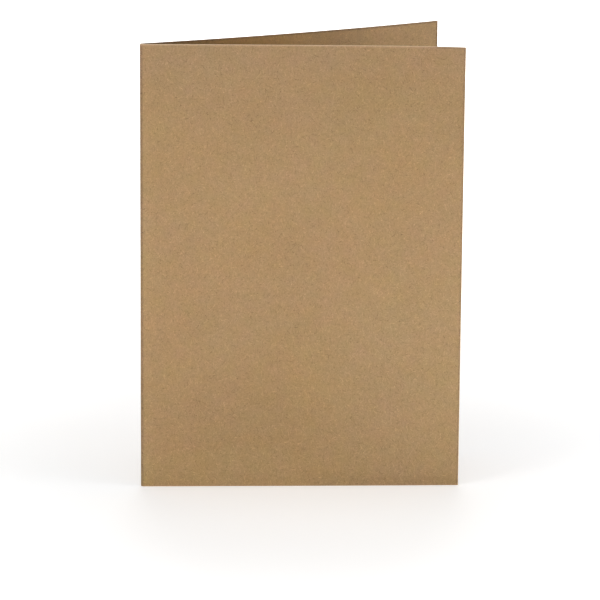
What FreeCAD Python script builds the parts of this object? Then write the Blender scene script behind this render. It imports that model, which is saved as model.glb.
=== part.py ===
import FreeCAD, Part
import math
import os
import Sketcher
from FreeCAD import Vector

# A blank greeting card: one sheet of kraft card, scored down the middle and folded once. It stands on its cut
# bottom edges like a narrow V, so the fold and the two free edges are upright.
#
# Millimetres. +Z is up, along the fold. The front panel faces -Y, with the fold at its left end, at -X. The
# back panel swings away behind it, towards +Y. The origin is the middle of the footprint, at the bottom edges.

NODE = "folded_card"

# Driving dimensions: alias, value and what it is. Lengths are in millimetres and angles in degrees.
DIMENSIONS = (
    ("panel_width", 105.0, "fold to free edge of the front panel"),
    ("card_height", 150.0, "length of the fold"),
    ("card_thickness", 0.35, "caliper of the card"),
    ("fold_inner_radius", 0.25, "inside radius that the score leaves in the fold"),
    ("opening_angle", 19.5, "between the front panel and the chord of the back panel"),
    ("back_bow", 2.0, "how far the middle of the back panel bows towards the front panel"),
    ("back_shortfall", 1.5, "how much narrower the back panel is than the front one"),
    ("bead_radius", 0.12, "ridge that the scoring rule raises along the inside of the fold"),
)

# The names that a sketch gives to a point of a line or arc, and to the sketch's own origin.
START, END, CENTRE = 1, 2, 3
ORIGIN = (-1, START)


def make_sheet(doc):
    """The spreadsheet of driving dimensions, one row each: name, value and note."""
    sheet = doc.addObject("Spreadsheet::Sheet", "dims")
    for row, (alias, value, note) in enumerate(DIMENSIONS, start=1):
        sheet.set(f"A{row}", alias)
        sheet.set(f"B{row}", str(value))
        sheet.set(f"C{row}", note)
        sheet.setAlias(f"B{row}", alias)
    doc.recompute()
    return sheet


def origin_plane(body, role):
    """One of the body's own three planes."""
    return next(feature for feature in body.Origin.OriginFeatures if feature.Role == role)


def polar(centre, radius, angle):
    """The point at this distance and direction from a centre."""
    return centre + Vector(radius * math.cos(angle), radius * math.sin(angle), 0)


def add_line(sketch, start, end, construction=False):
    return sketch.addGeometry(Part.LineSegment(start, end), construction)


def add_arc(sketch, centre, radius, first, last):
    circle = Part.Circle(centre, Vector(0, 0, 1), radius)
    return sketch.addGeometry(Part.ArcOfCircle(circle, first, last), False)


def constrain(sketch, kind, *items):
    sketch.addConstraint(Sketcher.Constraint(kind, *items))


def drive(sketch, name, kind, items, value, formula):
    """A named dimension of the sketch, bound to the sheet."""
    index = sketch.addConstraint(Sketcher.Constraint(kind, *items, value))
    sketch.renameConstraint(index, name)
    sketch.setExpression(f"Constraints.{name}", formula)


def draw_section(sketch, sheet):
    """The card's section, seen from above: front panel, fold with its bead, and back panel, in one outline.

    The lines and arcs are drawn where the dimensions put them, and the constraints then hold them there.
    """
    inner = sheet.fold_inner_radius
    outer = inner + sheet.card_thickness
    angle = math.radians(sheet.opening_angle)
    back_chord = sheet.panel_width - outer - sheet.back_shortfall

    # The back panel's outer face is an arc over this chord. The arc leaves its chord by half_sweep at each end,
    # and its centre is behind the card.
    half_sweep = 2 * math.atan(2 * sheet.back_bow / back_chord)
    back_radius = back_chord / (2 * math.sin(half_sweep))
    fold_end = math.pi / 2 + angle - half_sweep
    depth = outer * (1 + math.sin(fold_end)) + back_chord * math.sin(angle)

    left, right = -sheet.panel_width / 2, sheet.panel_width / 2
    front, back = -depth / 2, depth / 2
    fold = Vector(left + outer, front + outer, 0)
    back_centre = polar(fold, outer + back_radius, fold_end)
    sweep = (fold_end + math.pi, fold_end + math.pi + 2 * half_sweep)

    # The bead is an arc around a point of the fold's inside, on the line that halves the fold.
    bead_side = math.pi + angle / 2
    bead_gap = 2 * math.asin(sheet.bead_radius / (2 * inner))
    bead_reach = math.acos(sheet.bead_radius / (2 * inner))
    bead_centre = polar(fold, inner, bead_side)

    front_outer = add_line(sketch, Vector(fold.x, front, 0), Vector(right, front, 0))
    front_edge = add_line(sketch, Vector(right, front, 0), Vector(right, fold.y - inner, 0))
    front_inner = add_line(sketch, Vector(right, fold.y - inner, 0), Vector(fold.x, fold.y - inner, 0))
    fold_front = add_arc(sketch, fold, inner, bead_side + bead_gap, 1.5 * math.pi)
    bead = add_arc(sketch, bead_centre, sheet.bead_radius, angle / 2 - bead_reach, angle / 2 + bead_reach)
    fold_back = add_arc(sketch, fold, inner, fold_end, bead_side - bead_gap)
    back_inner = add_arc(sketch, back_centre, back_radius + sheet.card_thickness, *sweep)
    back_edge = add_line(sketch, polar(back_centre, back_radius + sheet.card_thickness, sweep[1]),
                         polar(back_centre, back_radius, sweep[1]))
    back_outer = add_arc(sketch, back_centre, back_radius, *sweep)
    fold_outer = add_arc(sketch, fold, outer, fold_end, 1.5 * math.pi)

    # Guides: the back panel's chord, the line that halves the fold, and a box around the whole footprint.
    chord = add_line(sketch, polar(fold, outer, fold_end), polar(back_centre, back_radius, sweep[1]), True)
    halving = add_line(sketch, bead_centre, fold, True)
    corners = [Vector(left, front, 0), Vector(right, front, 0), Vector(right, back, 0), Vector(left, back, 0)]
    box_front, box_right, box_back, box_left = [
        add_line(sketch, corners[i], corners[(i + 1) % 4], True) for i in range(4)]

    # One closed outline. The panels run smoothly into the fold, on both sides of the card.
    constrain(sketch, "Tangent", fold_outer, END, front_outer, START)
    constrain(sketch, "Coincident", front_outer, END, front_edge, START)
    constrain(sketch, "Coincident", front_edge, END, front_inner, START)
    constrain(sketch, "Tangent", front_inner, END, fold_front, END)
    constrain(sketch, "Coincident", fold_front, START, bead, START)
    constrain(sketch, "Coincident", bead, END, fold_back, END)
    constrain(sketch, "Tangent", fold_back, START, back_inner, START)
    constrain(sketch, "Coincident", back_inner, END, back_edge, START)
    constrain(sketch, "Coincident", back_edge, END, back_outer, END)
    constrain(sketch, "Tangent", back_outer, START, fold_outer, START)

    # The sheet is equally thick everywhere, because its two sides share their centres.
    constrain(sketch, "Coincident", fold_front, CENTRE, fold_outer, CENTRE)
    constrain(sketch, "Coincident", fold_back, CENTRE, fold_outer, CENTRE)
    constrain(sketch, "Coincident", back_inner, CENTRE, back_outer, CENTRE)
    constrain(sketch, "Horizontal", front_inner)
    constrain(sketch, "Equal", fold_front, fold_back)

    # The free edges are cut square, and the chord joins the ends of the back panel's outer face.
    constrain(sketch, "Vertical", front_edge)
    constrain(sketch, "PointOnObject", back_outer, CENTRE, back_edge)
    constrain(sketch, "Coincident", chord, START, back_outer, START)
    constrain(sketch, "Coincident", chord, END, back_outer, END)

    # The bead stands on the inside of the fold, halfway round it.
    constrain(sketch, "Coincident", halving, START, bead, CENTRE)
    constrain(sketch, "Coincident", halving, END, fold_outer, CENTRE)
    constrain(sketch, "PointOnObject", bead, CENTRE, fold_front)

    # The box touches the card all round and is centred on the origin.
    sides = [box_front, box_right, box_back, box_left]
    for side, following in zip(sides, sides[1:] + sides[:1]):
        constrain(sketch, "Coincident", side, END, following, START)
    constrain(sketch, "Horizontal", box_front)
    constrain(sketch, "Horizontal", box_back)
    constrain(sketch, "Vertical", box_right)
    constrain(sketch, "Vertical", box_left)
    constrain(sketch, "Symmetric", box_front, START, box_right, END, *ORIGIN)
    constrain(sketch, "Coincident", front_outer, END, box_front, END)
    constrain(sketch, "Horizontal", front_outer)
    constrain(sketch, "PointOnObject", back_outer, END, box_back)
    constrain(sketch, "Tangent", fold_outer, box_left)

    drive(sketch, "panel_width", "DistanceX", (box_front, START, box_front, END), sheet.panel_width,
          "dims.panel_width")
    drive(sketch, "fold_inside", "Radius", (fold_front,), inner, "dims.fold_inner_radius")
    drive(sketch, "fold_outside", "Radius", (fold_outer,), outer, "dims.fold_inner_radius + dims.card_thickness")
    drive(sketch, "bead", "Radius", (bead,), sheet.bead_radius, "dims.bead_radius")
    drive(sketch, "opening", "Angle", (chord,), angle, "dims.opening_angle")
    drive(sketch, "half_opening", "Angle", (halving,), angle / 2, "dims.opening_angle / 2")
    chord_formula = "dims.panel_width - dims.fold_inner_radius - dims.card_thickness - dims.back_shortfall"
    drive(sketch, "back_width", "Distance", (chord,), back_chord, chord_formula)
    drive(sketch, "back_curve", "Radius", (back_outer,), back_radius,
          f"(({chord_formula})^2 / 4 + dims.back_bow^2) / (2 * dims.back_bow)")


def make_card(doc, sheet):
    """The folded sheet: its section, drawn on the ground and raised along the fold."""
    body = doc.addObject("PartDesign::Body", NODE)
    body.Label = NODE
    section = body.newObject("Sketcher::SketchObject", "section")
    section.AttachmentSupport = (origin_plane(body, "XY_Plane"), [""])
    section.MapMode = "FlatFace"
    draw_section(section, sheet)
    doc.recompute()

    card = body.newObject("PartDesign::Pad", "card")
    card.Profile = section
    card.Type = "Length"
    card.setExpression("Length", "dims.card_height")
    section.Visibility = False
    body.Tip = card
    body.Placement = FreeCAD.Placement()
    doc.recompute()
    return body


def check(doc, pieces):
    """Stop if any object failed, or if a piece isn't one valid solid."""
    for item in doc.Objects:
        if "Invalid" in item.State or "Error" in item.State:
            raise RuntimeError(f"{item.Label} did not compute: {item.State}")
    for piece in pieces:
        shape = piece.Shape
        if shape.isNull() or not shape.isValid() or len(shape.Solids) != 1:
            raise RuntimeError(f"{piece.Label} is not one valid solid")


def write(pieces):
    os.makedirs("parts", exist_ok=True)
    for piece in pieces:
        piece.Shape.exportStep(os.path.join("parts", f"{piece.Label}.step"))
        box = piece.Shape.BoundBox
        print(f"{piece.Label}: {box.XLength:.2f} x {box.YLength:.2f} x {box.ZLength:.2f} mm, "
              f"{piece.Shape.Volume / 1000:.3f} cm3")


document = FreeCAD.newDocument("greeting_card")
dimensions = make_sheet(document)
sub_parts = [make_card(document, dimensions)]
check(document, sub_parts)
write(sub_parts)
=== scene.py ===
import math

import bpy
import numpy as np
from mathutils import Matrix, Vector, noise


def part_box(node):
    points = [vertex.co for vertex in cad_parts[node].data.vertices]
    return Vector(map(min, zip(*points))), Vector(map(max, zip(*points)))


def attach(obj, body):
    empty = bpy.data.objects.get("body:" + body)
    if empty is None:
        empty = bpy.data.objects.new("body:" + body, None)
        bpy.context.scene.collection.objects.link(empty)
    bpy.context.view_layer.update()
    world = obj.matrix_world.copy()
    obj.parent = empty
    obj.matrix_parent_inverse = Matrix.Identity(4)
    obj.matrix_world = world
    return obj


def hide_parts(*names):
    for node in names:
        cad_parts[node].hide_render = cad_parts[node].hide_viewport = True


# A blank kraft greeting card that stands part open, with its fold at the left and its front panel facing -Y.
# One sheet of card, built as a fine mesh along the same section as the solid that it stands for.
# Metres. +Z is up along the fold, and the card stands on z = 0.

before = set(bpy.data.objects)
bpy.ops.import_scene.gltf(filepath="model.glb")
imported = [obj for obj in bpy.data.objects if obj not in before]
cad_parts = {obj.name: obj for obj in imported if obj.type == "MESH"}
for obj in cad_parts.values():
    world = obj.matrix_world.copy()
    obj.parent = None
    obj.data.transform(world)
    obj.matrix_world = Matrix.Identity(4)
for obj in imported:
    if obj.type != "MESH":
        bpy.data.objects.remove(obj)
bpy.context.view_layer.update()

NODE = "folded_card"
BODY = "root"
MM = 0.001

# The sheet. Width, height and depth of the standing card come from the frame.
CARD_LOW, CARD_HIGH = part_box(NODE)
PANEL_WIDTH = CARD_HIGH[0] - CARD_LOW[0]
CARD_HEIGHT = CARD_HIGH[2] - CARD_LOW[2]
CARD_DEPTH = CARD_HIGH[1] - CARD_LOW[1]
THICKNESS = 0.35 * MM
FOLD_INSIDE = 0.25 * MM
FOLD_OUTSIDE = FOLD_INSIDE + THICKNESS
FOLD_MIDDLE = FOLD_INSIDE + THICKNESS / 2
BACK_BOW = 2.0 * MM
BACK_SHORTFALL = 1.5 * MM
BEAD_RADIUS = 0.12 * MM
EDGE_ROUND = 0.13 * MM

# The mesh: spacing close to an edge or the fold, spacing in the open, and how fast one grows into the other.
FINE_STEP = 0.16 * MM
OPEN_STEP = 1.25 * MM
STEP_GROWTH = 1.35
FOLD_STEPS = 22
ROUND_STEPS = 3

# How far the panels stray from true. The front panel's free edge leans out at the top and in at the bottom.
# FRONT_LEAN grows with the distance from the fold, and the two curls with its square. The panel's top corner
# lifts further.
FRONT_LEAN = 1.04 * MM
FRONT_CURL = 0.36 * MM
FRONT_CURL_LEAN = 1.01 * MM
CORNER_LIFT = 1.1 * MM
CORNER_REACH = 24 * MM

# Long waves run over both panels and die out towards the fold, and the fold itself is slightly uneven. The
# rows say which stretch of the noise is used.
WAVE_HEIGHT = 0.10 * MM
WAVE_LENGTH = 70 * MM
WAVE_START = 12 * MM
WAVE_ROW = 3.7
FOLD_UNEVEN = 0.02 * MM
FOLD_UNEVEN_LENGTH = 9 * MM
FOLD_UNEVEN_REACH = 1.2 * MM
FOLD_UNEVEN_ROW = 11.3

# Rounds of the search for the angle between the panels.
OPENING_ROUNDS = 30


class Section:
    """The card's section seen from above, as a path along the middle of the sheet.

    It starts at the front panel's free edge, runs to the fold, round it, and out along the back panel.
    """

    def __init__(self):
        self.flat = PANEL_WIDTH - FOLD_OUTSIDE
        self.back_chord = self.flat - BACK_SHORTFALL
        self.half_sweep = 2 * math.atan(2 * BACK_BOW / self.back_chord)
        self.opening = self.find_opening()
        self.fold_end = math.pi / 2 + self.opening - self.half_sweep
        self.fold = np.array([CARD_LOW[0] + FOLD_OUTSIDE, CARD_LOW[1] + FOLD_OUTSIDE])
        outer_radius = self.back_chord / (2 * math.sin(self.half_sweep))
        self.back_radius = outer_radius + THICKNESS / 2
        towards_back = np.array([math.cos(self.fold_end), math.sin(self.fold_end)])
        self.back_centre = self.fold + (FOLD_OUTSIDE + outer_radius) * towards_back
        self.fold_length = FOLD_MIDDLE * (1.5 * math.pi - self.fold_end)
        self.back_length = self.back_radius * 2 * self.half_sweep
        self.fold_start = self.flat
        self.back_start = self.flat + self.fold_length
        self.crest = self.flat + self.fold_length / 2
        self.length = self.back_start + self.back_length

    def find_opening(self):
        """The angle between the panels at which the section is as deep as the card in the frame."""
        opening = 0.0
        for _ in range(OPENING_ROUNDS):
            fold_part = FOLD_OUTSIDE * (1 + math.cos(opening - self.half_sweep))
            opening = math.asin((CARD_DEPTH - fold_part) / self.back_chord)
        return opening

    def at(self, along):
        """The point at this length along the path, and the direction that faces out of the card there."""
        if along <= self.fold_start:
            place = np.array([CARD_HIGH[0] - along, CARD_LOW[1] + THICKNESS / 2])
            return place, np.array([0.0, -1.0])
        if along < self.back_start:
            turn = 1.5 * math.pi - (along - self.fold_start) / FOLD_MIDDLE
            outward = np.array([math.cos(turn), math.sin(turn)])
            return self.fold + FOLD_MIDDLE * outward, outward
        turn = self.fold_end + math.pi + (along - self.back_start) / self.back_radius
        inward = np.array([math.cos(turn), math.sin(turn)])
        return self.back_centre + self.back_radius * inward, -inward

    def bead(self, along):
        """How far the scoring ridge stands out of the fold's inside at this length along the path."""
        off = (along - self.crest) * FOLD_INSIDE / FOLD_MIDDLE
        return math.sqrt(max(BEAD_RADIUS ** 2 - off ** 2, 0.0))

    def stray(self, along, height):
        """How far the sheet strays outwards from its true section."""
        wave = noise.noise(Vector((along / WAVE_LENGTH, height / WAVE_LENGTH, WAVE_ROW)))
        from_fold = abs(along - self.crest)
        wave_share = min(from_fold / WAVE_START, 1.0)
        uneven = noise.noise(Vector((FOLD_UNEVEN_ROW, height / FOLD_UNEVEN_LENGTH, 0.0)))
        uneven_share = math.exp(-(from_fold / FOLD_UNEVEN_REACH) ** 2)
        across = max((self.fold_start - along) / self.flat, 0.0)
        upwards = 2 * height / CARD_HEIGHT - 1
        lean = FRONT_LEAN * across * upwards + (FRONT_CURL + FRONT_CURL_LEAN * upwards) * across ** 2
        from_corner = math.hypot(along, CARD_HEIGHT - height)
        lean += CORNER_LIFT * max(1 - from_corner / CORNER_REACH, 0.0) ** 2
        return lean + WAVE_HEIGHT * wave * wave_share ** 2 + FOLD_UNEVEN * uneven * uneven_share

    def place(self, along, height, across):
        """The point of the standing sheet at this length, height and distance out from its middle."""
        point, outward = self.at(along)
        if across < 0:
            across *= 1 + self.bead(along) / (THICKNESS / 2)
        flat_place = point + outward * (across + self.stray(along, height))
        return flat_place[0], flat_place[1], CARD_LOW[2] + height


def graded(start, end):
    """Places from start to end that are close together at both ends and wide apart in the open."""
    half = (end - start) / 2
    offsets, place, step = [0.0], 0.0, FINE_STEP
    while place + step < half:
        place += step
        offsets.append(place)
        step = min(step * STEP_GROWTH, OPEN_STEP)
    rising = [start + offset for offset in offsets]
    falling = [end - offset for offset in reversed(offsets)]
    return rising + falling


class Sheet:
    """The folded sheet as one closed mesh: outer face, inner face, and the rounded cut edge round both.

    Each point keeps its place on the flat sheet, in millimetres, in the attribute named sheet: length along
    the section, height, and distance out from the sheet's middle.
    """

    def __init__(self, section):
        self.section = section
        self.points, self.flat_places, self.faces, self.on_edge = [], [], [], []
        fold_steps = np.linspace(section.fold_start, section.back_start, FOLD_STEPS + 1)
        self.columns = (graded(EDGE_ROUND, section.fold_start) + list(fold_steps[1:-1])
                        + graded(section.back_start, section.length - EDGE_ROUND))
        self.rows = graded(EDGE_ROUND, CARD_HEIGHT - EDGE_ROUND)
        self.last_column = len(self.columns) - 1
        self.last_row = len(self.rows) - 1
        outer = self.add_layer(THICKNESS / 2)
        inner = self.add_layer(-THICKNESS / 2)
        self.add_both_sides(outer, inner)
        self.add_cut_edge(outer, inner)

    def add_point(self, along, height, across):
        self.points.append(self.section.place(along, height, across))
        self.flat_places.append((along / MM, height / MM, across / MM))
        return len(self.points) - 1

    def add_face(self, a, b, c, d, edge):
        self.faces.append((a, b, c, d))
        self.on_edge.append(edge)

    def add_layer(self, across):
        return [[self.add_point(along, height, across) for height in self.rows] for along in self.columns]

    def add_both_sides(self, outer, inner):
        for i in range(self.last_column):
            for j in range(self.last_row):
                self.add_face(outer[i][j], outer[i][j + 1], outer[i + 1][j + 1], outer[i + 1][j], False)
                self.add_face(inner[i][j], inner[i + 1][j], inner[i + 1][j + 1], inner[i][j + 1], False)

    def add_cut_edge(self, outer, inner):
        """Loops round the sheet, one for each step over the cut edge from the outer to the inner face."""
        last_column, last_row = self.last_column, self.last_row
        rim = ([(i, 0) for i in range(last_column)]
               + [(last_column, j) for j in range(last_row)]
               + [(i, last_row) for i in range(last_column, 0, -1)]
               + [(0, j) for j in range(last_row, 0, -1)])
        turns = [math.pi / 2 * step / ROUND_STEPS for step in range(1, ROUND_STEPS + 1)]
        loops = [[outer[i][j] for i, j in rim]]
        for side, turn in [(1, turn) for turn in turns] + [(-1, turn) for turn in reversed(turns)]:
            inset = EDGE_ROUND * (1 - math.sin(turn))
            across = side * (THICKNESS / 2 - EDGE_ROUND + EDGE_ROUND * math.cos(turn))
            loops.append([self.add_rim_point(i, j, inset, across) for i, j in rim])
        loops.append([inner[i][j] for i, j in rim])
        for above, below in zip(loops, loops[1:]):
            for k in range(len(rim)):
                following = (k + 1) % len(rim)
                self.add_face(above[k], above[following], below[following], below[k], True)

    def add_rim_point(self, i, j, inset, across):
        """The point of the rim at this column and row, drawn in from the sheet's very edge by the inset."""
        along, height = self.columns[i], self.rows[j]
        if i in (0, self.last_column):
            along = inset if i == 0 else self.section.length - inset
        if j in (0, self.last_row):
            height = inset if j == 0 else CARD_HEIGHT - inset
        return self.add_point(along, height, across)

    def make(self, name):
        mesh = bpy.data.meshes.new(name)
        mesh.from_pydata(self.points, [], self.faces)
        flat_places = mesh.attributes.new("sheet", "FLOAT_VECTOR", "POINT")
        flat_places.data.foreach_set("vector", np.array(self.flat_places, dtype=np.float32).ravel())
        mesh.polygons.foreach_set("material_index", np.array(self.on_edge, dtype=np.int32))
        mesh.polygons.foreach_set("use_smooth", np.ones(len(self.faces), dtype=bool))
        mesh.update()
        card = bpy.data.objects.new(name, mesh)
        bpy.context.collection.objects.link(card)
        return card


class Graph:
    """The nodes of a material or of the world.

    Each call adds one node or a few, sets their sockets from values or links, and returns an output.
    """

    def __init__(self, owner):
        owner.use_nodes = True
        self.tree = owner.node_tree
        self.tree.nodes.clear()

    def node(self, kind, settings=(), **sockets):
        made = self.tree.nodes.new(kind)
        for name, value in dict(settings).items():
            setattr(made, name, value)
        for name, value in sockets.items():
            self.put(made.inputs[name.replace("_", " ")], value)
        return made

    def put(self, socket, value):
        if isinstance(value, bpy.types.NodeSocket):
            self.tree.links.new(value, socket)
        elif value is not None:
            socket.default_value = value

    def math(self, operation, first, second=None, clamp=False):
        made = self.node("ShaderNodeMath", {"operation": operation, "use_clamp": clamp})
        self.put(made.inputs[0], first)
        self.put(made.inputs[1], second)
        return made.outputs[0]

    def vector(self, operation, first, second):
        made = self.node("ShaderNodeVectorMath", {"operation": operation})
        self.put(made.inputs[0], first)
        self.put(made.inputs[3] if operation == "SCALE" else made.inputs[1], second)
        return made.outputs[0]

    def length(self, vector):
        return self.node("ShaderNodeVectorMath", {"operation": "LENGTH"}, Vector=vector).outputs["Value"]

    def split(self, vector):
        """The three numbers of a vector."""
        made = self.node("ShaderNodeSeparateXYZ", Vector=vector)
        return made.outputs["X"], made.outputs["Y"], made.outputs["Z"]

    def join(self, x, y, z):
        """The vector of three numbers."""
        return self.node("ShaderNodeCombineXYZ", X=x, Y=y, Z=z).outputs["Vector"]

    def noise(self, place, size, detail=2.0, roughness=0.5):
        """Soft noise around 0, with lumps of about this size in millimetres."""
        made = self.node("ShaderNodeTexNoise", {"noise_dimensions": "3D"}, Vector=place, Scale=1 / size,
                         Detail=detail, Roughness=roughness)
        return self.math("MULTIPLY", self.math("SUBTRACT", made.outputs["Fac"], 0.5), 2.0)

    def cells(self, place, size):
        """Scattered points, one to a cell of this size: the node, and three numbers drawn for each cell."""
        made = self.node("ShaderNodeTexVoronoi", {"voronoi_dimensions": "2D"}, Vector=place, Scale=1 / size)
        draws = self.node("ShaderNodeSeparateColor", Color=made.outputs["Color"])
        return made, draws.outputs["Red"], draws.outputs["Green"], draws.outputs["Blue"]

    def fade(self, value, full, gone):
        """1 where the value is at full or beyond, 0 where it is at gone or beyond, and smooth between."""
        made = self.node("ShaderNodeMapRange", {"interpolation_type": "SMOOTHSTEP"}, Value=value,
                         From_Min=full, From_Max=gone, To_Min=1.0, To_Max=0.0)
        return made.outputs["Result"]

    def product(self, *factors):
        result = factors[0]
        for factor in factors[1:]:
            result = self.math("MULTIPLY", result, factor)
        return result

    def total(self, *parts):
        """The sum of (value, weight) pairs."""
        result = None
        for value, weight in parts:
            part = self.math("MULTIPLY", value, weight)
            result = part if result is None else self.math("ADD", result, part)
        return result

    def weigh(self, zones, weights):
        """The sum of the zones named in the weights."""
        return self.total(*[(zones[name], weight) for name, weight in weights.items()])

    def blend(self, share, first, second):
        """The first colour where the share is 0 and the second where it is 1."""
        made = self.node("ShaderNodeMix", {"data_type": "RGBA"})
        self.put(made.inputs["Factor"], share)
        self.put(made.inputs["A"], first)
        self.put(made.inputs["B"], second)
        return made.outputs["Result"]


# Kraft tones, linear: the stock drifts from a redder to a greener brown. The cut edge is pale on the front
# panel, from fresh fibres and a painted highlight, and darker on the back one.
KRAFT_RED = (0.4365, 0.2685, 0.1345, 1.0)
KRAFT_GREEN = (0.4105, 0.2735, 0.1300, 1.0)
FRONT_CUT_PALE_AND_HIGHLIGHT = (0.78, 0.60, 0.40, 1.0)
BACK_CUT_TONE = (0.40, 0.27, 0.155, 1.0)

# The stock's patterns, from broad to fine. Sizes are in millimetres on the flat sheet, and a tone is the
# share by which a pattern lightens the stock or, below 0, darkens it. Noise goes both ways.
DRIFT_SIZE = 22.0
DRIFT_TONE = 0.042
CLOUD_SIZE = 4.5
CLOUD_TONE = 0.053
MOTTLE_SIZE = 0.9
MOTTLE_TONE = 0.095
GRAIN_SIZE = 0.42
GRAIN_TONE = 0.30
FIBRE_LAYERS = (
    # cell, half length, half width, tone, and a number that parts the layers
    (0.8, 0.36, 0.080, 0.28, 3.1),
    (1.1, 0.50, 0.080, 0.28, 17.9),
    (1.6, 0.75, 0.075, 0.29, 41.3),
    (2.4, 1.15, 0.070, 0.29, 67.1),
)
SPECK_LAYERS = (
    # cell, size, share of the cells that hold a speck, tone, and a number that parts the layers
    (5.0, 0.34, 0.30, -0.20, 5.3),
    (3.2, 0.30, 0.30, 0.18, 63.7),
)

# How much each pattern raises the surface, in shares of the bump's height.
GRAIN_RELIEF = 0.6
MOTTLE_RELIEF = 0.5
FIBRE_RELIEF = 0.5
CRACK_RELIEF = 1.2
BUMP_HEIGHT = 0.035 * MM

# The stock's fibres lie mostly upright, so their pattern is drawn out that way, and the cracks run across the
# fold. The two faces of the sheet show different fibres, so the inner face reads the patterns this far away.
FIBRE_SQUEEZE = (1.10, 0.86, 1.0)
CRACK_SQUEEZE = (0.8, 5.0, 1.0)
CRACK_SIZE = 1.0
CRACK_TONE = 0.30
FACES_APART = 500.0

# Two slow drifts of colour, each in small and in broad patches: from redder to greener, and from yellower to
# greyer. Each reads the noise at a place of its own.
TINT_AWAY = (91.0, 7.0, 0.0)
TINT_PATCHES = (
    # size, share of the way from one stock to the other
    (5.5, 0.66),
    (24.0, 0.52),
)
GREY_AWAY = (13.0, 57.0, 0.0)
GREY_SMALL_SIZE = 5.0
GREY_SMALL = 0.10
GREY_BROAD_SIZE = 26.0
GREY_BROAD = 0.085

# How far each zone of the sheet lightens it, and how far it raises its green and its blue. The zones are laid
# out in card_zones. Several of them are painted highlights, painted bounce light and painted shade, as marked
# there.
ZONE_TONE = {"crease": -0.26, "painted_fold_highlight": 0.035, "painted_bounce": 0.28, "painted_fold_shade": -0.28, "painted_top_shade": -0.035,
             "painted_contact_shade": -0.08, "painted_low_shade": -0.050, "painted_foot_bounce": 0.022}
ZONE_GREEN = {"sallow": 0.035, "inside": 0.03, "painted_bounce": -0.06, "painted_low_shade": 0.015, "painted_foot_bounce": 0.035}
ZONE_BLUE = {"rim": 0.10, "crease": 0.10, "sallow": 0.06, "inside": 0.05, "painted_bounce": -0.21, "painted_foot_bounce": 0.02,
             "top_band": 0.045}
# The edge tone along the front panel's top is a painted highlight.
EDGE_TONE = {"rim": -0.19, "inner_rim": -0.18, "painted_top_highlight": 0.41, "foot": 0.24}
EDGE_UNEVEN_SIZE = 1.4

# The middle of the faint patch of painted shade on the front panel: length along the section, and height. It
# is twice as wide as it is high.
PATCH_ALONG = 72.0
PATCH_HEIGHT = 25.0
PATCH_SQUEEZE = 0.5

ROUGHNESS = 0.88
CLOUD_ROUGHNESS = 0.05
SPECULAR = 0.25
CUT_ROUGHNESS = 0.95
CUT_SPECULAR = 0.15


def sheet_place(graph):
    return graph.node("ShaderNodeAttribute", {"attribute_name": "sheet"}).outputs["Vector"]


class Spot:
    """Where on the flat sheet a point of the surface lies, as sockets in millimetres."""

    def __init__(self, graph, section):
        self.along, self.height, across = graph.split(sheet_place(graph))
        self.inside = graph.math("LESS_THAN", across, 0.0)
        self.outside = graph.math("SUBTRACT", 1.0, self.inside)
        self.on_front = graph.math("LESS_THAN", self.along, section.crest / MM)
        self.off_fold = graph.math("ABSOLUTE", graph.math("SUBTRACT", self.along, section.crest / MM))
        self.from_top = graph.math("SUBTRACT", CARD_HEIGHT / MM, self.height)
        from_end = graph.math("MINIMUM", self.height, self.from_top)
        from_back = graph.math("SUBTRACT", section.length / MM, self.along)
        from_side = graph.math("MINIMUM", self.along, from_back)
        self.from_cut = graph.math("MINIMUM", from_end, from_side)
        away = graph.join(graph.math("MULTIPLY", self.inside, FACES_APART), 0.0, 0.0)
        self.place = graph.vector("ADD", graph.join(self.along, self.height, 0.0), away)
        self.drawn = graph.vector("MULTIPLY", self.place, FIBRE_SQUEEZE)


def add_strands(graph, place, cell, half_length, half_width, apart):
    """Short curved fibres, one to a cell and each at its own slant: how much of one is here, and its tone."""
    moved = graph.vector("ADD", place, (apart, apart * 1.7, 0.0))
    cells, slant, bend, lightness = graph.cells(moved, cell)
    spoke = graph.vector("SUBTRACT", moved, cells.outputs["Position"])
    turned = graph.node("ShaderNodeVectorRotate", {"rotation_type": "Z_AXIS"}, Vector=spoke,
                        Angle=graph.math("MULTIPLY", slant, math.pi))
    lengthways, sideways, _ = graph.split(turned.outputs["Vector"])
    bend = graph.math("MULTIPLY", graph.math("SUBTRACT", bend, 0.5), 1.2 / half_length)
    lift = graph.math("MULTIPLY", bend, graph.math("POWER", lengthways, 2.0))
    off_line = graph.math("ABSOLUTE", graph.math("SUBTRACT", sideways, lift))
    off_middle = graph.math("ABSOLUTE", lengthways)
    here = graph.product(graph.fade(off_line, half_width * 0.4, half_width * 1.4),
                         graph.fade(off_middle, half_length * 0.55, half_length))
    tone = graph.math("MULTIPLY", graph.math("SUBTRACT", lightness, 0.5), 2.0)
    return here, tone


def add_specks(graph, place, cell, size, share, apart):
    """Sparse uneven specks of about this size: only this share of the cells holds one."""
    moved = graph.vector("ADD", place, (apart, apart * 0.6, 0.0))
    wobble = graph.noise(moved, size * 1.5)
    cells, lot, growth, _ = graph.cells(moved, cell)
    reach = graph.math("MULTIPLY", cells.outputs["Distance"], cell)
    uneven = graph.math("ADD", reach, graph.math("MULTIPLY", wobble, size * 0.35))
    grown = graph.math("DIVIDE", uneven, graph.math("ADD", growth, 0.5))
    held = graph.math("LESS_THAN", lot, share)
    return graph.product(held, graph.fade(grown, size * 0.25, size * 0.6))


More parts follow.
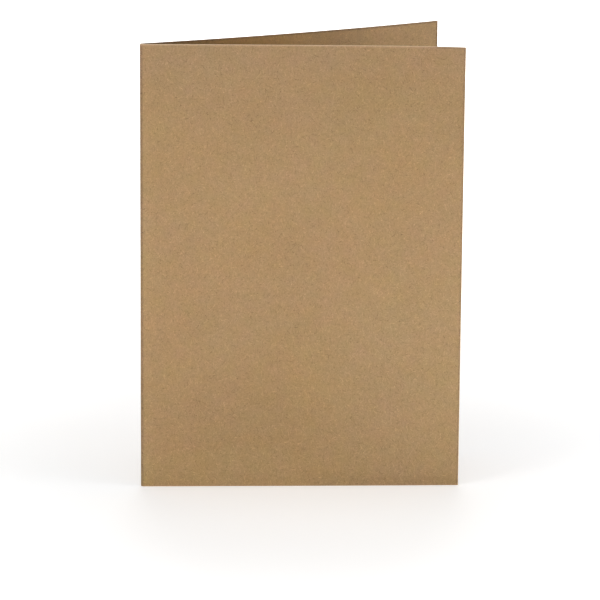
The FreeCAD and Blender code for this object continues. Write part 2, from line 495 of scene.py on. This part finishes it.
def card_zones(graph, spot):
    """How much of each zone of the sheet is here, from 0 to 1.

    The zones follow the card's broad tones in the photo. Some of these may be light there, and not stock.
    Each fade gives the distance in millimetres at which a zone is full, and the one at which it is gone.
    """
    rim = graph.fade(spot.from_cut, 0.30, 0.90)
    patch = graph.join(graph.product(graph.math("SUBTRACT", spot.along, PATCH_ALONG), PATCH_SQUEEZE),
                       graph.math("SUBTRACT", spot.height, PATCH_HEIGHT), 0.0)
    return {
        "inside": spot.inside,
        # On the fold's outside the sheet is darker, and beside it a painted highlight makes it paler.
        "crease": graph.product(graph.fade(spot.off_fold, 0.60, 1.20), spot.outside),
        "painted_fold_highlight": graph.product(graph.fade(spot.off_fold, 1.0, 6.0), spot.outside),
        # The blade has pressed the last half millimetre before a cut edge a little darker. The sheet is paler
        # along the foot, and a painted highlight lies along the front panel's top, short of the free corner.
        "rim": rim,
        "inner_rim": graph.product(rim, spot.inside),
        "painted_top_highlight": graph.product(graph.fade(spot.from_top, 0.25, 0.85), spot.outside, spot.on_front,
                                   graph.fade(spot.along, 13.0, 8.0)),
        "foot": graph.product(graph.fade(spot.height, 0.30, 0.90), spot.outside),
        # Painted bounce light makes the inner face warmer and lighter between the panels than the lamps alone
        # make it, and painted shade makes it darker again close to the fold.
        "painted_bounce": graph.product(graph.fade(spot.off_fold, 40.0, 75.0), spot.inside),
        "painted_fold_shade": graph.product(graph.fade(spot.off_fold, 8.0, 34.0), spot.inside),
        # Painted shade makes the outer face darker at the top, with a narrow greyer band there, and painted
        # bounce light makes it paler and greener along the foot next to the fold.
        "painted_top_shade": graph.product(graph.fade(spot.from_top, 18.0, 45.0), spot.outside),
        "top_band": graph.product(graph.fade(spot.from_top, 7.0, 12.0), spot.outside),
        "painted_foot_bounce": graph.product(graph.fade(spot.height, 8.0, 15.0), graph.fade(spot.off_fold, 45.0, 70.0),
                                spot.outside),
        # The front panel is greener and greyer towards the free corner at its foot, and painted shade darkens
        # it at the very bottom there. A faint patch of painted shade lies low down.
        "sallow": graph.product(graph.fade(spot.along, 15.0, 65.0), graph.fade(spot.height, 45.0, 95.0),
                                spot.outside),
        "painted_contact_shade": graph.product(graph.fade(spot.along, 25.0, 60.0), graph.fade(spot.height, 1.5, 6.0),
                                spot.outside),
        "painted_low_shade": graph.product(graph.fade(graph.length(patch), 3.0, 19.0), spot.outside),
    }


def stock_patterns(graph, spot, clouds):
    """The stock's own tone and relief, from its broad drifts down to its fibres and specks."""
    drifts = graph.noise(spot.place, DRIFT_SIZE, detail=1.0)
    mottle = graph.noise(spot.drawn, MOTTLE_SIZE)
    grain = graph.noise(spot.drawn, GRAIN_SIZE, detail=3.0, roughness=0.75)
    tones = [(clouds, CLOUD_TONE), (drifts, DRIFT_TONE), (mottle, MOTTLE_TONE), (grain, GRAIN_TONE)]
    reliefs = [(grain, GRAIN_RELIEF), (mottle, MOTTLE_RELIEF)]
    for cell, half_length, half_width, strength, apart in FIBRE_LAYERS:
        here, lightness = add_strands(graph, spot.drawn, cell, half_length, half_width, apart)
        tones.append((graph.product(here, lightness), strength))
        reliefs.append((here, FIBRE_RELIEF))
    for cell, size, share, strength, apart in SPECK_LAYERS:
        tones.append((add_specks(graph, spot.place, cell, size, share, apart), strength))
    return graph.total(*tones), graph.total(*reliefs)


def stock_colour(graph, spot, zones):
    """The stock's colour before its tone: its slow drifts, and the tints of its zones."""
    tint_place = graph.vector("ADD", spot.place, TINT_AWAY)
    tint = graph.total(*[(graph.noise(tint_place, size, detail=1.0), share) for size, share in TINT_PATCHES])
    stock = graph.blend(graph.math("ADD", tint, 0.5, clamp=True), KRAFT_RED, KRAFT_GREEN)
    grey_place = graph.vector("ADD", spot.place, GREY_AWAY)
    greyness = graph.total((graph.noise(grey_place, GREY_SMALL_SIZE, detail=2.0), GREY_SMALL),
                           (graph.noise(grey_place, GREY_BROAD_SIZE, detail=1.0), GREY_BROAD))
    # Some zone tints are painted bounce light, as marked in card_zones.
    green = graph.math("ADD", graph.weigh(zones, ZONE_GREEN), 1.0)
    blue = graph.math("ADD", graph.math("ADD", graph.weigh(zones, ZONE_BLUE), greyness), 1.0)
    return graph.vector("MULTIPLY", stock, graph.join(1.0, green, blue))


def kraft_material(section):
    """Uncoated kraft card: cloudy brown stock with grain, short fibres, specks and a little fold wear."""
    material = bpy.data.materials.new("kraft_card")
    graph = Graph(material)
    spot = Spot(graph, section)
    zones = card_zones(graph, spot)
    clouds = graph.noise(spot.place, CLOUD_SIZE)
    tone, relief = stock_patterns(graph, spot, clouds)

    cracks = graph.noise(graph.vector("MULTIPLY", spot.place, CRACK_SQUEEZE), CRACK_SIZE, detail=3.0)
    cracked = graph.product(zones["crease"], cracks)
    # Noise makes the edge tones uneven, the painted highlight on the front panel's top among them.
    edge_unevenness = graph.math("ADD", graph.noise(spot.place, EDGE_UNEVEN_SIZE, detail=1.0), 1.0)
    edges = graph.product(graph.weigh(zones, EDGE_TONE), edge_unevenness)
    # The zone and edge tones include painted highlights, painted bounce light and painted shade, as marked in
    # card_zones.
    tone = graph.total((tone, 1.0), (graph.weigh(zones, ZONE_TONE), 1.0), (cracked, CRACK_TONE), (edges, 1.0))
    relief = graph.total((relief, 1.0), (cracked, CRACK_RELIEF))

    colour = graph.vector("SCALE", stock_colour(graph, spot, zones), graph.math("ADD", tone, 1.0))
    roughness = graph.math("ADD", graph.product(clouds, CLOUD_ROUGHNESS), ROUGHNESS)
    bump = graph.node("ShaderNodeBump", Strength=1.0, Distance=BUMP_HEIGHT, Height=relief)
    surface = graph.node("ShaderNodeBsdfPrincipled", Base_Color=colour, Normal=bump.outputs["Normal"],
                         Roughness=roughness, Specular_IOR_Level=SPECULAR)
    graph.node("ShaderNodeOutputMaterial", Surface=surface.outputs["BSDF"])
    return material


# The cut edge: fibres in layers that lie along the sheet, and a fuzz of torn ends.
LAYER_SQUEEZE = (1.0, 1.0, 11.0)
LAYER_SIZE = 0.8
LAYER_TONE = 0.30
LAYER_RELIEF = 1.0
FUZZ_SIZE = 0.12
FUZZ_TONE = 0.25
FUZZ_RELIEF = 0.6
CUT_BUMP_HEIGHT = 0.03 * MM


def cut_edge_material(section):
    """The cut edge: torn fibres in layers along the sheet, paler on the front panel than on the back, partly
    from a painted highlight.
    """
    material = bpy.data.materials.new("kraft_cut_edge")
    graph = Graph(material)
    sheet = sheet_place(graph)
    along, _, _ = graph.split(sheet)
    on_front = graph.math("LESS_THAN", along, section.crest / MM)
    drawn = graph.vector("MULTIPLY", sheet, LAYER_SQUEEZE)
    layers = graph.noise(drawn, LAYER_SIZE, detail=4.0, roughness=0.65)
    fuzz = graph.noise(sheet, FUZZ_SIZE, detail=3.0, roughness=0.7)
    tone = graph.total((layers, LAYER_TONE), (fuzz, FUZZ_TONE))
    # The front panel's cut edge is pale from fresh fibres and a painted highlight.
    stock = graph.blend(on_front, BACK_CUT_TONE, FRONT_CUT_PALE_AND_HIGHLIGHT)
    colour = graph.vector("SCALE", stock, graph.math("ADD", tone, 1.0))
    relief = graph.total((layers, LAYER_RELIEF), (fuzz, FUZZ_RELIEF))
    bump = graph.node("ShaderNodeBump", Strength=1.0, Distance=CUT_BUMP_HEIGHT, Height=relief)
    surface = graph.node("ShaderNodeBsdfPrincipled", Base_Color=colour, Normal=bump.outputs["Normal"],
                         Roughness=CUT_ROUGHNESS, Specular_IOR_Level=CUT_SPECULAR)
    graph.node("ShaderNodeOutputMaterial", Surface=surface.outputs["BSDF"])
    return material


# The floor as the camera sees it: its own glow and what it sends back of the lamps make white together, and
# the card's shadow takes the second part away. The glow grows with the distance from the card, because the
# lamps reach less far. The light that the floor sends on to the card is brown near the card's foot, as on a
# kraft mat, and white further out. Distances are in metres from the middle of the card's footprint.
FLOOR_SIZE = 8.0
FLOOR_GLOW = 0.36
GLOW_NEAR = 0.06
GLOW_FAR = 0.30
FLOOR_SEEN = (0.85, 0.85, 0.85, 1.0)
MAT_BOUNCE = (0.38, 0.28, 0.145, 1.0)
TABLE_BOUNCE = (0.80, 0.80, 0.80, 1.0)
MAT_REACH = 0.045
TABLE_START = 0.10


def seen_ray(graph):
    """1 for a ray that shows the background: from the camera, off a gloss or through a clear piece."""
    rays = graph.node("ShaderNodeLightPath")
    shown = graph.math("MAXIMUM", rays.outputs["Is Camera Ray"], rays.outputs["Is Glossy Ray"])
    return graph.math("MAXIMUM", shown, rays.outputs["Is Transmission Ray"])


def floor_material():
    material = bpy.data.materials.new("floor")
    graph = Graph(material)
    away = graph.length(graph.node("ShaderNodeTexCoord").outputs["Object"])
    tint = graph.blend(graph.fade(away, MAT_REACH, TABLE_START), TABLE_BOUNCE, MAT_BOUNCE)
    bounce = graph.node("ShaderNodeBsdfDiffuse", Color=tint)
    seen = graph.node("ShaderNodeBsdfDiffuse", Color=FLOOR_SEEN)
    lit = graph.product(graph.fade(away, GLOW_NEAR, GLOW_FAR), FLOOR_GLOW - 1.0)
    glow = graph.node("ShaderNodeEmission", Strength=graph.math("ADD", lit, 1.0))
    white = graph.node("ShaderNodeAddShader")
    graph.put(white.inputs[0], seen.outputs[0])
    graph.put(white.inputs[1], glow.outputs[0])
    choice = graph.node("ShaderNodeMixShader", Fac=seen_ray(graph))
    graph.put(choice.inputs[1], bounce.outputs[0])
    graph.put(choice.inputs[2], white.outputs[0])
    graph.node("ShaderNodeOutputMaterial", Surface=choice.outputs[0])
    return material


def add_floor():
    half = FLOOR_SIZE / 2
    corners = [(-half, -half, 0), (half, -half, 0), (half, half, 0), (-half, half, 0)]
    mesh = bpy.data.meshes.new("floor")
    mesh.from_pydata(corners, [], [(0, 1, 2, 3)])
    mesh.materials.append(floor_material())
    floor = bpy.data.objects.new("floor", mesh)
    bpy.context.collection.objects.link(floor)


AMBIENT = 0.22


def light_world():
    """White where the camera looks past the floor, and a soft even light from all round."""
    world = bpy.data.worlds.new("studio")
    bpy.context.scene.world = world
    graph = Graph(world)
    strength = graph.math("ADD", graph.product(seen_ray(graph), 1.0 - AMBIENT), AMBIENT)
    sky = graph.node("ShaderNodeBackground", Color=(1.0, 1.0, 1.0, 1.0), Strength=strength)
    graph.node("ShaderNodeOutputWorld", Surface=sky.outputs[0])


# Each lamp: azimuth and elevation in degrees as seen from the card's middle, distance and width in metres,
# and power in watts. Azimuth 0 is in front of the card and 90 is to its right.
LAMPS = {
    "key": (-53, 6, 0.60, 0.30, 1.5),
    "front": (0, -8, 0.34, 0.12, 0.22),
    "right_low": (62, -8, 0.26, 0.10, 0.155),
    "right": (75, 3, 1.10, 0.25, 3.9),
    "mouth": (90, 3, 1.10, 0.25, 2.2),
    "overhead": (0, 89, 1.10, 0.60, 3.0),
    "back": (180, 10, 1.10, 0.80, 7.0),
}


def add_lamps():
    middle = Vector((0, 0, CARD_HEIGHT / 2))
    for name, (azimuth, elevation, distance, width, power) in LAMPS.items():
        turn, rise = math.radians(azimuth), math.radians(elevation)
        away = Vector((math.sin(turn) * math.cos(rise), -math.cos(turn) * math.cos(rise), math.sin(rise)))
        data = bpy.data.lights.new(name, "AREA")
        data.shape = "DISK"
        data.size = width
        data.energy = power
        lamp = bpy.data.objects.new(name, data)
        lamp.location = middle + away * distance
        lamp.rotation_euler = away.to_track_quat("Z", "Y").to_euler()
        bpy.context.collection.objects.link(lamp)


# The camera's place in metres, its turn from looking level along +Y as yaw, pitch and roll in degrees, its
# lens and sensor in millimetres, and how far it sees in metres.
CAMERA_PLACE = (-0.0270, -1.5037, 0.4958)
CAMERA_TURN = (-1.028, -16.1895, -0.393)
CAMERA_LENS = 283.9
CAMERA_SENSOR = 36
CAMERA_REACH = 20


def add_camera():
    """The photograph's view: from in front of the card and a little above it, through a long lens."""
    data = bpy.data.cameras.new("camera")
    data.sensor_width = CAMERA_SENSOR
    data.lens = CAMERA_LENS
    data.clip_end = CAMERA_REACH
    view = bpy.data.objects.new("camera", data)
    bpy.context.collection.objects.link(view)
    yaw, pitch, roll = [math.radians(angle) for angle in CAMERA_TURN]
    turn = Matrix.Rotation(yaw, 4, "Z") @ Matrix.Rotation(pitch, 4, "X") @ Matrix.Rotation(roll, 4, "Y")
    upright = Matrix.Rotation(math.pi / 2, 4, "X")
    view.matrix_world = Matrix.Translation(CAMERA_PLACE) @ turn @ upright
    bpy.context.scene.camera = view


section = Section()
card = Sheet(section).make("card_sheet")
card.data.materials.append(kraft_material(section))
card.data.materials.append(cut_edge_material(section))
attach(card, BODY)
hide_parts(NODE)
add_floor()
light_world()
add_lamps()
add_camera()
bpy.context.scene.view_settings.view_transform = "Standard"
